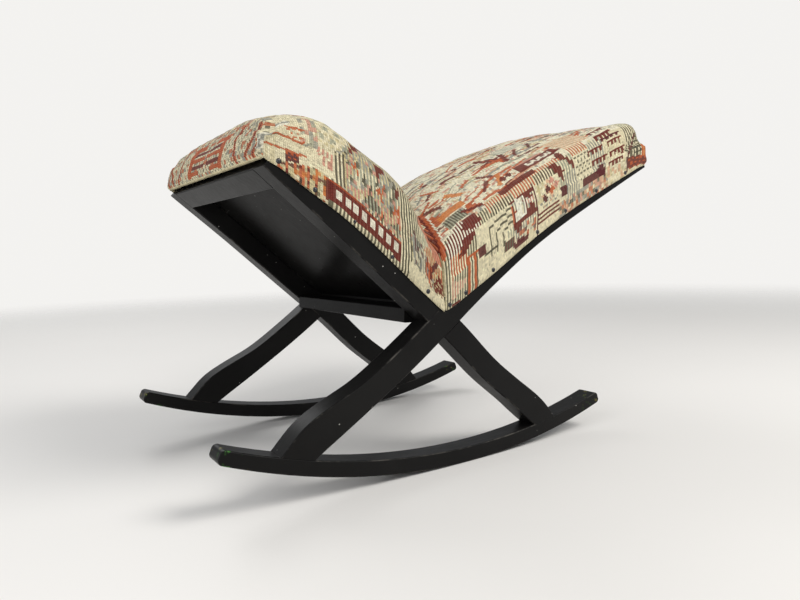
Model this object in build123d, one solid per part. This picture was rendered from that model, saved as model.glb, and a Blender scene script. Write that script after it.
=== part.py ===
"""Rocking footstool: two side frames on curved rockers, carrying a long and a short padded rest
that meet in a valley above the crossing of the legs.

The stool is drawn level, with the middle of its rockers at X = 0 and their lowest line at Z = 0.
It is then rolled forward on its rockers by lean_angle, the way it comes to rest, and moved so that
the origin lies under the middle of its bounding box. X runs from the short rest to the long one,
Y across the stool towards its left side, and Z up. All lengths are in millimetres.
"""
from build123d import *
import math
import os

# ---- Driving dimensions -------------------------------------------------------------------------
frame_width = 340          # over the outer faces of the two side frames
frame_thickness = 29       # of every rocker, leg and arm, across the stool
lean_angle = 2.7           # roll towards the long rest, in degrees

rocker_reach = 266         # half the length of a rocker, measured level
rocker_radius = 780        # of the underside
rocker_top_radius = 820    # flatter than the underside, so that the rocker thins to its ends
rocker_depth = 18          # at the middle
rocker_nose = 5            # rounding of the upturned ends

crossing_x = -5.5          # where the centre lines of the two crossed pieces meet
crossing_z = 170
long_foot_x = -181         # middle of the foot that belongs to the long rest
short_foot_x = 155
long_tip_x = 346.2         # middle of the long arm's end
long_tip_z = 382.1
short_tip_x = -210.9
short_tip_z = 334.9
long_leg_width = 29        # of the timber, seen from the side
short_leg_width = 29
long_arm_width = 27
short_arm_width = 26.5
eased_edge = 1.6           # the worn, rounded long edges of the timber

end_rail_width = 28        # along the arm
stretcher_height = 17
stretcher_width = 45
stretcher_edge_x = -41     # its edge towards the short rest
stretcher_edge_z = 166
stretcher_dowel_setback = 27    # from that edge
board_thickness = 6
board_setback = 0.5        # of the boards' ends from the frames' outer faces
wadding_thickness = 6
cover_thickness = 1.5
pad_shoulder_radius = 22
long_end_radius = 36       # where the top of a rest turns down over the arm's end
short_end_radius = 52

dowel_radius = 4
dowel_length = 26
foot_dowel_in_rocker = 11
pin_radius = 2
pin_length = 24
board_pin_radius = 1
board_pin_length = 16
board_pin_head_radius = 2.5
board_pin_head_depth = 1
tack_head_radius = 2.8
tack_head_height = 1.4
tack_shank = 1.6           # square, as on a cut tack
tack_length = 11
tack_above_hem = 5
end_tack_count = 5
end_tack_margin = 17       # from the rail's ends to the outermost tacks

# ---- Rows that shape the timber -----------------------------------------------------------------
# Each row is (share of the way along, bow off the straight centre line, width as a share of the
# piece's nominal width). They give the S-curve and the swelling feet.
long_leg_rows = [(-0.08, 2.0, 1.0), (0.0, 4.0, 1.10), (0.1, 5.4, 1.22), (0.2, 4.1, 1.21),
                 (0.3, 1.8, 1.13), (0.42, -1.0, 1.01), (0.6, -2.6, 0.98), (0.85, -2.2, 1.01)]
long_arm_rows = [(0.06, 2.4, 1.11), (0.15, 6.6, 1.08), (0.27, 10.8, 1.04), (0.4, 13.6, 1.0),
                 (0.56, 12.5, 0.94), (0.71, 9.0, 0.89), (0.86, 4.6, 0.81), (1.0, 0.2, 0.75)]
short_arm_rows = [(0.0, -2.7, 0.95), (0.06, -2.6, 0.95), (0.32, -1.2, 0.98), (0.63, -1.2, 1.0),
                  (0.9, -1.0, 1.03)]
short_leg_rows = [(0.12, -0.2, 1.0), (0.3, -1.2, 1.0), (0.45, -1.6, 1.0), (0.6, 0.5, 1.02),
                  (0.72, 2.8, 1.05), (0.84, 4.6, 1.12), (0.94, 5.4, 1.1), (1.02, 5.0, 1.02),
                  (1.1, 3.0, 0.95)]

# How high the cover's hem lies above the lower edge of the arm, as (share along the arm, rise).
long_hem_rows = [(-0.02, 27.0), (0.03, 20.5), (0.1, 16.5), (0.2, 12.5), (0.36, 10.5), (0.56, 10.0),
                 (0.76, 8.0), (0.91, 5.6), (1.1, 4.2)]
short_hem_rows = [(-0.2, 4.5), (0.0, 7.3), (0.08, 9.5), (0.21, 13.0), (0.37, 17.5), (0.58, 19.5),
                  (0.79, 19.5), (1.04, 21.5)]

# Where the pins and tacks stand, as shares of the way along the arm.
long_board_pin_shares = (0.12, 0.35, 0.62, 0.9)
short_board_pin_shares = (0.12, 0.38, 0.64, 0.86)
long_tack_shares = (0.035, 0.1, 0.22, 0.43, 0.57, 0.73, 0.89)
short_tack_shares = (0.03, 0.2, 0.4, 0.62, 0.85)
crossing_pin_places = [(-11, 158), (-3, 154)]

# The stuffed form of each rest at even steps from the valley to the arm's end: (height of the
# shoulder over the board, crown over the shoulder, how far the shoulder is drawn in).
long_pad_rows = [(48, 45, 5), (51, 42, 8), (44, 44, 9), (45, 36, 9), (48.5, 25, 8), (49, 13, 8), (40, 7, 9)]
short_pad_rows = [(55, 34, 5), (70, 33, 8), (76, 31, 8), (68.5, 30, 9), (60.5, 25, 8), (39.5, 17, 8),
                  (25, 10, 10)]


# ---- Helpers ------------------------------------------------------------------------------------
half_width = frame_width / 2
inner_half_width = half_width - frame_thickness
crossing = (crossing_x, crossing_z)
long_tip = (long_tip_x, long_tip_z)
short_tip = (short_tip_x, short_tip_z)
far_out = 1000             # larger than the stool, for cutting blocks


def off_line(start, end, share, rise):
    """The point a share of the way from start to end, moved off that line by rise."""
    along_x, along_z = end[0] - start[0], end[1] - start[1]
    length = math.hypot(along_x, along_z)
    return (start[0] + share * along_x - rise * along_z / length,
            start[1] + share * along_z + rise * along_x / length)


def slope(start, end):
    """Degrees that the line from start to end falls towards +X, as a turn about Y."""
    return math.degrees(math.atan2(start[1] - end[1], end[0] - start[0]))


def column_at(rows, share, column):
    """A column of rows at a share of the way along, straight between the rows."""
    for before, after in zip(rows, rows[1:]):
        if share <= after[0]:
            part = (share - before[0]) / (after[0] - before[0])
            return before[column] + part * (after[column] - before[column])
    return rows[-1][column]


def height_at(points, x):
    """Height of a chain of points at x, level past its ends."""
    points = sorted(points)
    return column_at(points, max(x, points[0][0]), 1)


def across(face, low_y, high_y):
    """The solid that a profile in the X-Z plane makes between two places across the stool."""
    return Pos(0, low_y, 0) * extrude(Plane.XZ * face, -(high_y - low_y))


def band(lower, upper):
    """The profile between two edges, each a list of points joined by a smooth curve."""
    ends = [Line(lower[-1], upper[-1]), Line(upper[0], lower[0])]
    return make_face([Spline(*lower), *ends, Spline(*upper)])


def under(edge):
    """The profile of everything below an edge."""
    below = Polyline(edge[-1], (edge[-1][0], -far_out), (edge[0][0], -far_out), edge[0])
    return make_face([Spline(*edge), below])


def past(x, side):
    """The profile of everything past a place along the stool, towards +X or -X by side."""
    return Pos(x + side * far_out / 2, 0) * Rectangle(far_out, 2 * far_out)


def block(low, high):
    """A box between two corners."""
    return Pos(*[(a + b) / 2 for a, b in zip(low, high)]) * Box(*[b - a for a, b in zip(low, high)])


def mirrored(piece):
    """The same piece on the left side of the stool."""
    return mirror(piece, Plane.XZ)


def ease_along_y(piece):
    """Round the edges of a rail that run across the stool."""
    return fillet(piece.edges().filter_by(Axis.Y), eased_edge)


# ---- Rockers ------------------------------------------------------------------------------------
rocker_top_centre_z = rocker_depth + rocker_top_radius


def rocker_top_z(x):
    """Height of a rocker's upper face, level."""
    return rocker_top_centre_z - math.sqrt(rocker_top_radius ** 2 - x ** 2)


def make_rocker():
    """One bent rocker, on the right side of the stool, with its ends cut square to the bend."""
    low_end_z = rocker_radius - math.sqrt(rocker_radius ** 2 - rocker_reach ** 2)
    end_depth = rocker_top_z(rocker_reach) - low_end_z
    high_end_x = rocker_reach - end_depth * rocker_reach / rocker_radius
    high_end_z = rocker_top_z(high_end_x)
    profile = make_face([
        ThreePointArc((-rocker_reach, low_end_z), (0, 0), (rocker_reach, low_end_z)),
        Line((rocker_reach, low_end_z), (high_end_x, high_end_z)),
        ThreePointArc((high_end_x, high_end_z), (0, rocker_depth), (-high_end_x, high_end_z)),
        Line((-high_end_x, high_end_z), (-rocker_reach, low_end_z)),
    ])
    piece = across(fillet(profile.vertices(), rocker_nose), -half_width, -inner_half_width)
    return fillet(piece.faces().filter_by(Axis.Y).edges(), eased_edge)


# ---- Crossed pieces: each is one S-shaped leg that runs on past the crossing as an arm -----------
long_foot = (long_foot_x, rocker_top_z(long_foot_x))
short_foot = (short_foot_x, rocker_top_z(short_foot_x))


def edge_points(start, end, rows, width, side, out):
    """Points of a piece's upper (side = 1) or lower (side = -1) edge, moved outwards by out."""
    return [off_line(start, end, share, bow + side * (width * swell / 2 + out)) for share, bow, swell in rows]


def long_edge(side, out=0):
    """The edge of the piece that carries the long rest, from its foot to the arm's end."""
    leg = edge_points(long_foot, crossing, long_leg_rows, long_leg_width, side, out)
    return leg + edge_points(crossing, long_tip, long_arm_rows, long_arm_width, side, out)


def short_edge(side, out=0):
    """The edge of the piece that carries the short rest, from the arm's end to its foot."""
    arm = edge_points(short_tip, crossing, short_arm_rows, short_arm_width, side, out)
    return arm + edge_points(crossing, short_foot, short_leg_rows, short_leg_width, side, out)


long_profile = band(long_edge(-1), long_edge(1))
short_profile = band(short_edge(-1), short_edge(1))


def make_timber(profile):
    """One crossed piece of the right side frame, with its long edges eased and its foot on the rocker."""
    piece = across(profile, -half_width, -inner_half_width)
    piece = fillet(piece.faces().filter_by(Axis.Y).edges().filter_by(GeomType.BSPLINE), eased_edge)
    return piece & across(Pos(0, rocker_top_centre_z) * Circle(rocker_top_radius), -half_width, half_width)


def make_crossed_pieces():
    """The two crossed pieces of the right side frame, halved into each other where they meet."""
    meeting = long_profile & short_profile
    middle = -half_width + frame_thickness / 2
    long_piece = make_timber(long_profile) - across(meeting, middle, -inner_half_width)
    short_piece = make_timber(short_profile) - across(meeting, -half_width, middle)
    return long_piece, short_piece


# ---- Rails, stretcher and boards ----------------------------------------------------------------
def make_end_rail(profile, start, end, corner_share, side):
    """The rail between the two arms' ends, with the arms' own section there."""
    past_rail = Pos(*off_line(start, end, corner_share, 0)) * Rot(0, 0, -slope(start, end)) * past(0, -side)
    return ease_along_y(across(profile - past_rail, -inner_half_width, inner_half_width))


def make_stretcher():
    """The flat rail that joins the two frames under the valley."""
    low = (stretcher_edge_x, -inner_half_width, stretcher_edge_z)
    high = (stretcher_edge_x + stretcher_width, inner_half_width, stretcher_edge_z + stretcher_height)
    return ease_along_y(block(low, high))


def make_board(edge, side):
    """A thin board nailed on top of the arms, from the valley to their ends."""
    sheet = band(edge(1, -board_thickness), edge(1, board_thickness))
    board_half_width = half_width - board_setback
    sheet = sheet - long_profile - short_profile - past(crossing_x, -side)
    return across(sheet, -board_half_width, board_half_width)


# ---- Rests: stuffing, wadding and cover ---------------------------------------------------------
pad_skirt = 70             # how far the uncut forms reach below the board


def pad_section(x, board_z, row, inset):
    """One upright section across a rest, inset from the outside of its cover."""
    shoulder, crown, draw_in = row
    half = half_width + cover_thickness - inset
    low = board_z - pad_skirt - inset
    corner = (half - draw_in, board_z + shoulder - inset)
    crown_radius = (corner[0] ** 2 + crown ** 2) / (2 * crown)
    top = (0, corner[1] + crown)
    side_length = math.dist((half, board_z), corner)
    trim = min(pad_shoulder_radius, side_length / 2)
    side_end = off_line(corner, (half, board_z), trim / side_length, 0)
    crown_y = corner[0] - trim
    crown_end = (crown_y, top[1] - crown_radius + math.sqrt(crown_radius ** 2 - crown_y ** 2))
    bend = tuple((a + 2 * b + c) / 4 for a, b, c in zip(side_end, corner, crown_end))
    right = [(half, low), (half, board_z), side_end, bend, crown_end]
    left = [(-y, z) for y, z in right]
    outline = make_face([
        Polyline(left[2], left[1], left[0], right[0], right[1], right[2]),
        ThreePointArc(*right[2:]),
        ThreePointArc(right[4], top, left[4]),
        ThreePointArc(left[4], left[3], left[2]),
    ])
    return Plane(origin=(x, 0, 0), x_dir=(0, 1, 0), z_dir=(1, 0, 0)) * outline


def crown_height(board_top, rows, start, end, x):
    """Height of a rest's outside along its middle, straight between the rows."""
    crowns = [(i / (len(rows) - 1), row[0] + row[1]) for i, row in enumerate(rows)]
    return height_at(board_top, x) + column_at(crowns, (x - start) / (end - start), 1)


def pad_form(board_top, rows, start, end, inset):
    """The stuffed shape of a rest between two places, inset from the outside of its cover."""
    places = [start + (end - start) * i / (len(rows) - 1) for i in range(len(rows))]
    return loft([pad_section(x, height_at(board_top, x), row, inset) for x, row in zip(places, rows)])


def end_waste(centre, radius, side):
    """What is cut away where the top of a rest turns down over the arm's end."""
    corner = Pos(centre[0] + side * far_out / 2, centre[1] + far_out / 2) * Rectangle(far_out, far_out)
    return across(corner - Pos(*centre) * Circle(radius), -far_out, far_out)


def make_rest(edge, rows, hem, end_radius, side):
    """Stuffing, wadding and cover of a rest, each over the one before."""
    board_top = edge(1, board_thickness)[::side]
    low_corner = edge(-1)[::side][-1]
    end = low_corner[0] + side * cover_thickness
    turn_x = end - side * end_radius
    turn_z = crown_height(board_top, rows, crossing_x, end, turn_x) + cover_thickness - end_radius
    forms = []
    for inset, start in ((0, -cover_thickness), (cover_thickness, -2 * cover_thickness),
                         (cover_thickness + wadding_thickness, wadding_thickness)):
        form = pad_form(board_top, rows, crossing_x + side * start, end - side * inset, inset)
        forms.append(form - end_waste((turn_x, turn_z), end_radius - inset, side))
    outside, padded, stuffed = forms
    past_seam = across(past(crossing_x, -side), -far_out, far_out)
    below_hem = across(under(hem), -far_out, far_out)
    seat = make_face([
        Spline(*board_top),
        Polyline(board_top[-1], low_corner, (low_corner[0], -far_out), (board_top[0][0], -far_out),
                 board_top[0]),
    ])
    seat = across(seat, -far_out, far_out)
    wadding = padded - stuffed - past_seam - seat - below_hem
    return stuffed - seat, wadding, outside - padded - past_seam - below_hem


# ---- Dowels, pins and tacks ---------------------------------------------------------------------
def across_dowel(x, z, middle_y, radius=dowel_radius, length=dowel_length):
    """A round dowel or pin that lies across the stool."""
    return Pos(x, middle_y, z) * Rot(90, 0, 0) * Cylinder(radius, length)


def foot_dowels(foot):
    """Two dowels that stand in the rocker, square to it, and reach up into the foot."""
    tilt = math.degrees(math.asin(-foot[0] / rocker_top_radius))
    middle_y = -half_width + frame_thickness / 2
    rise = dowel_length / 2 - foot_dowel_in_rocker
    pair = [Pos(0, offset, rise) * Cylinder(dowel_radius, dowel_length)
            for offset in (-frame_thickness / 4, frame_thickness / 4)]
    return [Pos(foot[0], middle_y, foot[1]) * Rot(0, tilt, 0) * dowel for dowel in pair]


def board_pins(start, end, rows, width, shares):
    """Nails through a board into the two arms, with their heads flush."""
    middle_y = half_width - frame_thickness / 2
    nail = Pos(0, 0, -board_pin_length / 2) * Cylinder(board_pin_radius, board_pin_length)
    nail += Pos(0, 0, -board_pin_head_depth / 2) * Cylinder(board_pin_head_radius, board_pin_head_depth)
    nails = []
    for share in shares:
        rise = column_at(rows, share, 1) + width * column_at(rows, share, 2) / 2 + board_thickness
        x, z = off_line(start, end, share, rise - board_pin_head_depth)
        nails += [Pos(x, y, z) * Rot(0, slope(start, end), 0) * nail for y in (-middle_y, middle_y)]
    return nails


def make_tack():
    """A cut tack that points along +Z from the cloth at Z = 0, with a domed head below."""
    dome_radius = (tack_head_radius ** 2 + tack_head_height ** 2) / (2 * tack_head_height)
    dome = Pos(0, 0, dome_radius - tack_head_height) * Sphere(dome_radius)
    head = dome - block((-far_out, -far_out, 0), (far_out, far_out, far_out))
    return head + block((-tack_shank / 2, -tack_shank / 2, 0), (tack_shank / 2, tack_shank / 2, tack_length))


def hem_rise(hem_rows, edge_rows, width, share):
    """How far the hem lies off the arm's straight centre line."""
    lower_edge = column_at(edge_rows, share, 1) - width * column_at(edge_rows, share, 2) / 2
    return lower_edge + column_at(hem_rows, share, 1)


def hem_points(start, end, hem_rows, edge_rows, width):
    """The line of the cover's hem, seen from the side."""
    return [off_line(start, end, row[0], hem_rise(hem_rows, edge_rows, width, row[0])) for row in hem_rows]


def side_tacks(start, end, hem_rows, edge_rows, width, shares):
    """The tacks along the hem on the right side of a rest."""
    tacks = []
    for share in shares:
        x, z = off_line(start, end, share, hem_rise(hem_rows, edge_rows, width, share) + tack_above_hem)
        tacks.append(Pos(x, -half_width - cover_thickness, z) * Rot(-90, 0, 0) * make_tack())
    return tacks


def end_tacks(low_corner, hem, side):
    """The tacks along the hem over a rest's end rail."""
    x = low_corner[0] + side * cover_thickness
    z = height_at(hem, low_corner[0]) + tack_above_hem
    reach = inner_half_width - end_tack_margin
    places = [reach * (2 * i / (end_tack_count - 1) - 1) for i in range(end_tack_count)]
    return [Pos(x, y, z) * Rot(0, -side * 90, 0) * make_tack() for y in places]


# ---- Assembly -----------------------------------------------------------------------------------
nodes = {}


def add(name, *solids):
    """Keep the solids of one named piece, or of one group of like pieces."""
    nodes[name] = Compound([solid for piece in solids for solid in piece.solids()])


def cut_for(piece, tools):
    """The piece with the holes that dowels, pins or tacks fill."""
    for tool in tools:
        piece = piece - tool
    return piece


rocker = make_rocker()
long_piece, short_piece = make_crossed_pieces()
long_length = math.dist(crossing, long_tip)
short_length = math.dist(crossing, short_tip)
long_end_rail = make_end_rail(long_profile, crossing, long_tip, 1 - end_rail_width / long_length, 1)
short_end_rail = make_end_rail(short_profile, short_tip, crossing, end_rail_width / short_length, -1)
stretcher = make_stretcher()
long_board = make_board(long_edge, 1)
short_board = make_board(short_edge, -1)

long_hem = hem_points(crossing, long_tip, long_hem_rows, long_arm_rows, long_arm_width)
short_hem = hem_points(short_tip, crossing, short_hem_rows, short_arm_rows, short_arm_width)
long_stuffing, long_wadding, long_cover = make_rest(
    long_edge, long_pad_rows, long_hem, long_end_radius, 1)
short_stuffing, short_wadding, short_cover = make_rest(
    short_edge, short_pad_rows, short_hem, short_end_radius, -1)

all_foot_dowels = foot_dowels(long_foot) + foot_dowels(short_foot)
crossing_pins = [across_dowel(x, z, -half_width + pin_length / 2, pin_radius, pin_length)
                 for x, z in crossing_pin_places]
long_rail_place = off_line(crossing, long_tip, 1 - end_rail_width / 2 / long_length, long_arm_rows[-1][1])
short_rail_place = off_line(short_tip, crossing, end_rail_width / 2 / short_length, short_arm_rows[0][1])
stretcher_place = (stretcher_edge_x + stretcher_dowel_setback, stretcher_edge_z + stretcher_height / 2)
long_rail_dowel = across_dowel(*long_rail_place, -inner_half_width)
short_rail_dowel = across_dowel(*short_rail_place, -inner_half_width)
stretcher_dowel = across_dowel(*stretcher_place, -inner_half_width)
long_pins = board_pins(crossing, long_tip, long_arm_rows, long_arm_width, long_board_pin_shares)
short_pins = board_pins(short_tip, crossing, short_arm_rows, short_arm_width, short_board_pin_shares)
long_side_tacks = side_tacks(crossing, long_tip, long_hem_rows, long_arm_rows, long_arm_width,
                             long_tack_shares)
short_side_tacks = side_tacks(short_tip, crossing, short_hem_rows, short_arm_rows, short_arm_width,
                              short_tack_shares)
long_end_tacks = end_tacks(long_edge(-1)[-1], long_hem, 1)
short_end_tacks = end_tacks(short_edge(-1)[0], short_hem, -1)

rocker = cut_for(rocker, all_foot_dowels)
long_piece = cut_for(long_piece, all_foot_dowels + crossing_pins + [long_rail_dowel] + long_pins
                     + long_side_tacks)
short_piece = cut_for(short_piece, all_foot_dowels + crossing_pins + [short_rail_dowel, stretcher_dowel]
                      + short_pins + short_side_tacks)
for name, piece in (("rocker", rocker), ("long_seat_support", long_piece),
                    ("short_seat_support", short_piece)):
    add(name + "_right", piece)
    add(name + "_left", mirrored(piece))
for name, group in (("foot_dowels", all_foot_dowels), ("crossing_pins", crossing_pins),
                    ("long_cover_tacks", long_side_tacks), ("short_cover_tacks", short_side_tacks)):
    add(name + "_right", *group)
    add(name + "_left", *[mirrored(piece) for piece in group])
for name, rail, dowel, tacks in (("long_end_rail", long_end_rail, long_rail_dowel, long_end_tacks),
                                 ("short_end_rail", short_end_rail, short_rail_dowel, short_end_tacks),
                                 ("centre_stretcher", stretcher, stretcher_dowel, [])):
    pair = [dowel, mirrored(dowel)]
    add(name, cut_for(rail, pair + tacks))
    add(name + "_dowels", *pair)
for name, board, pins in (("long_seat_board", long_board, long_pins),
                          ("short_seat_board", short_board, short_pins)):
    add(name, cut_for(board, pins))
    add(name + "_pins", *pins)
for name, stuffing, wadding, cover, sides, ends in (
        ("long", long_stuffing, long_wadding, long_cover, long_side_tacks, long_end_tacks),
        ("short", short_stuffing, short_wadding, short_cover, short_side_tacks, short_end_tacks)):
    add(name + "_pad_stuffing", cut_for(stuffing, ends))
    add(name + "_pad_wadding", cut_for(wadding, ends))
    add(name + "_cover", cut_for(cover, sides + [mirrored(tack) for tack in sides] + ends))
    add(name + "_end_tacks", *ends)

rolled = Pos(0, 0, rocker_radius) * Rot(0, lean_angle, 0) * Pos(0, 0, -rocker_radius)
nodes = {name: rolled * node for name, node in nodes.items()}
middle_x = Compound(list(nodes.values())).bounding_box().center().X
os.makedirs("parts", exist_ok=True)
for name, node in nodes.items():
    export_step(Pos(-middle_x, 0, 0) * node, f"parts/{name}.step")
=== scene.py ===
"""Rocking footstool: the finishes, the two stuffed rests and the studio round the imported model."""
import bpy
import math
import numpy as np
from mathutils import Matrix, Vector
from mathutils.bvhtree import BVHTree
from mathutils.kdtree import KDTree


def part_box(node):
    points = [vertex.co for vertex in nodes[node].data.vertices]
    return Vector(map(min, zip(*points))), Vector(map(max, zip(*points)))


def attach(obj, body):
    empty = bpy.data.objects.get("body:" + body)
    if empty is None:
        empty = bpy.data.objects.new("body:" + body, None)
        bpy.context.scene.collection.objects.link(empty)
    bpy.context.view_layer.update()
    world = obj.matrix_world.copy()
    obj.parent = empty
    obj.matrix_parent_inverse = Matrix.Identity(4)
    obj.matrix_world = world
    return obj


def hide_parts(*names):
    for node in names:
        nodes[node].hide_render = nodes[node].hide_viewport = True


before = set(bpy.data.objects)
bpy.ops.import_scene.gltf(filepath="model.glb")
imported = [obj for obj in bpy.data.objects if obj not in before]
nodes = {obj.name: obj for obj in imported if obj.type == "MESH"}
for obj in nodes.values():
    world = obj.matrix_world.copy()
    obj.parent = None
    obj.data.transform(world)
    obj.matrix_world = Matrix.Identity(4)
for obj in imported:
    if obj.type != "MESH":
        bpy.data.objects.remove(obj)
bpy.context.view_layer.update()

# ---- Camera and studio ----------------------------------------------------------------------------
# The stool stands on a plain pale floor that fades into the backdrop, under three large soft lamps. The
# camera stands low, near the end of the short rest, as in the photograph.
focal_pixels = 634.7
image_width = 800
sensor_width = 36.0
camera_place = Vector((-0.4886, -0.7372, 0.2543))
camera_yaw = math.radians(33.575)
camera_pitch = math.radians(-4.739)
camera_roll = math.radians(-1.677)
view_axis = Vector((math.sin(camera_yaw) * math.cos(camera_pitch),
                    math.cos(camera_yaw) * math.cos(camera_pitch),
                    math.sin(camera_pitch)))
level_right = Vector((math.cos(camera_yaw), -math.sin(camera_yaw), 0))
level_up = level_right.cross(view_axis)
image_right = level_right * math.cos(camera_roll) + level_up * math.sin(camera_roll)
image_up = level_up * math.cos(camera_roll) - level_right * math.sin(camera_roll)

lens = bpy.data.cameras.new("photo_camera")
lens.sensor_width = sensor_width
lens.lens = focal_pixels * sensor_width / image_width
lens.clip_start = 0.02
camera = bpy.data.objects.new("photo_camera", lens)
bpy.context.collection.objects.link(camera)
camera.matrix_world = Matrix.Translation(camera_place) @ Matrix(
    (image_right, image_up, -view_axis)).transposed().to_4x4()
bpy.context.scene.camera = camera
bpy.context.scene.view_settings.view_transform = "Standard"


class Wire:
    """A socket that a shader is worked out from, so that maths on it is written as an expression."""

    def __init__(self, finish, socket):
        self.finish = finish
        self.socket = socket

    def maths(self, operation, *values):
        """The result of a Math node on up to two values."""
        return self.finish.add("Math", {"operation": operation}, dict(enumerate(values)))

    def __add__(self, other):
        return self.maths("ADD", self, other)

    def __radd__(self, other):
        return self.maths("ADD", other, self)

    def __sub__(self, other):
        return self.maths("SUBTRACT", self, other)

    def __rsub__(self, other):
        return self.maths("SUBTRACT", other, self)

    def __mul__(self, other):
        return self.maths("MULTIPLY", self, other)

    def __rmul__(self, other):
        return self.maths("MULTIPLY", other, self)

    def __pow__(self, other):
        return self.maths("POWER", self, other)

    def __abs__(self):
        return self.maths("ABSOLUTE", self)

    def __gt__(self, other):
        return self.maths("GREATER_THAN", self, other)

    def __and__(self, other):
        return self.maths("MINIMUM", self, other)

    def __or__(self, other):
        return self.maths("MAXIMUM", self, other)

    def sine(self):
        """The sine of an angle in radians."""
        return self.maths("SINE", self)

    def rises(self, low, high):
        """0 below low, 1 above high and smooth between; the other way round where low is above high."""
        ends = {"From Min": min(low, high), "From Max": max(low, high)}
        ends.update({"To Min": float(low > high), "To Max": float(low < high)})
        return self.finish.add("MapRange", {"interpolation_type": "SMOOTHSTEP"}, {"Value": self, **ends})


class Finish:
    """A material under construction: add() puts in a node and gives its output as a Wire."""

    def __init__(self, name, colour, **constants):
        self.material = bpy.data.materials.new(name)
        self.material.use_nodes = True
        self.tree = self.material.node_tree
        self.shader = self.tree.nodes["Principled BSDF"]
        self.material.diffuse_color = (*colour, 1)
        self.shader.inputs["Base Color"].default_value = (*colour, 1)
        for socket, value in constants.items():
            self.shader.inputs[socket.replace("_", " ")].default_value = value

    def add(self, kind, settings, inputs, output=0):
        """Put in a node of a kind, with its settings and then the values or links of its sockets."""
        node = self.tree.nodes.new("ShaderNode" + kind)
        for name, value in settings.items():
            setattr(node, name, value)
        for name, value in inputs.items():
            if isinstance(value, Wire):
                self.tree.links.new(value.socket, node.inputs[name])
            else:
                node.inputs[name].default_value = value
        return Wire(self, node.outputs[output])

    def place(self):
        """The point of the surface, in metres, in the stool's own frame."""
        return self.add("TexCoord", {}, {}, "Object")

    def axes(self, vector):
        """The three numbers of a vector."""
        split = self.add("SeparateXYZ", {}, {"Vector": vector})
        return split, Wire(self, split.socket.node.outputs[1]), Wire(self, split.socket.node.outputs[2])

    def stretched(self, vector, scale, turn=(0, 0, 0)):
        """Coordinates turned and stretched for a pattern."""
        return self.add("Mapping", {}, {"Vector": vector, "Rotation": turn, "Scale": scale})

    def cloud(self, vector, scale, detail=3.0, roughness=0.55):
        """Soft noise from about 0.25 to 0.75."""
        inputs = {"Vector": vector, "Scale": scale, "Detail": detail, "Roughness": roughness}
        return self.add("TexNoise", {}, inputs)

    def mix(self, factor, before, after, blend="MIX"):
        """Two colours mixed by a factor."""
        before, after = [(*c, 1) if isinstance(c, tuple) else c for c in (before, after)]
        settings = {"data_type": "RGBA", "blend_type": blend}
        return self.add("Mix", settings, {0: factor, 6: before, 7: after}, 2)

    def bump(self, height, distance, strength=1.0, under=None):
        """The normal of a relief whose height is given as a share of distance, in metres."""
        inputs = {"Height": height, "Distance": distance, "Strength": strength}
        if under:
            inputs["Normal"] = under
        return self.add("Bump", {}, inputs)

    def wire(self, **sockets):
        """Link what varies to the shader, and hand over the finished material."""
        for name, value in sockets.items():
            self.tree.links.new(value.socket, self.shader.inputs[name.replace("_", " ")])
        return self.material


def dress(piece, material):
    """Give a piece one material all over."""
    piece.data.materials.clear()
    piece.data.materials.append(material)
    for polygon in piece.data.polygons:
        polygon.material_index = 0


floor_reach = 6.0
floor_level = -0.0002
floor_colour = (0.80, 0.78, 0.75)
floor_patches = (0.84, 0.82, 0.79)
floor_fade = (1.2, 3.4)    # how far from the middle the floor begins to fade, and is gone
backdrop_colour = (0.90, 0.89, 0.87)
sky_colour = (0.96, 0.98, 1.0)
sky_strength = 0.42
lamp_aim = Vector((0, 0, 0.25))

bpy.ops.object.select_all(action="DESELECT")
bpy.ops.mesh.primitive_plane_add(size=2 * floor_reach, location=(0, 0, floor_level))
floor = bpy.context.active_object
floor.name = "studio_floor"
painted = Finish("pale_floor", floor_colour, Roughness=0.6)
across, along, _ = painted.axes(painted.place())
radius = (across * across + along * along) ** 0.5
patched = painted.mix(painted.cloud(painted.place(), 3.0) * 0.5, floor_colour, floor_patches)
opaque = Wire(painted, painted.shader.outputs[0])
clear = painted.add("BsdfTransparent", {}, {})
blended = painted.add("MixShader", {}, {0: radius.rises(*floor_fade), 1: opaque, 2: clear})
painted.tree.links.new(blended.socket, painted.tree.nodes["Material Output"].inputs["Surface"])
dress(floor, painted.wire(Base_Color=patched))

world = bpy.context.scene.world or bpy.data.worlds.new("studio")
bpy.context.scene.world = world
world.use_nodes = True
sky = world.node_tree
sky.nodes.clear()
choice = sky.nodes.new("ShaderNodeMixShader")
sky.links.new(sky.nodes.new("ShaderNodeLightPath").outputs["Is Camera Ray"], choice.inputs[0])
for socket, colour, strength in ((1, sky_colour, sky_strength), (2, backdrop_colour, 1)):
    background = sky.nodes.new("ShaderNodeBackground")
    background.inputs["Color"].default_value = (*colour, 1)
    background.inputs["Strength"].default_value = strength
    sky.links.new(background.outputs[0], choice.inputs[socket])
sky.links.new(choice.outputs[0], sky.nodes.new("ShaderNodeOutputWorld").inputs["Surface"])


def lamp(name, place, size, power, colour=(1, 1, 1)):
    """A square soft lamp that faces the rests."""
    light = bpy.data.lights.new(name, "AREA")
    light.size = size
    light.energy = power
    light.color = colour
    holder = bpy.data.objects.new(name, light)
    bpy.context.collection.objects.link(holder)
    holder.location = place
    holder.rotation_euler = (lamp_aim - Vector(place)).to_track_quat("-Z", "Y").to_euler()


lamp("key_lamp", (0.9, -1.5, 1.9), 1.1, 42, (1.0, 0.985, 0.96))
lamp("side_lamp", (-1.9, -0.9, 1.0), 1.2, 16, (0.97, 0.98, 1.0))
lamp("back_lamp", (-0.3, 1.8, 1.7), 1.2, 16)

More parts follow.
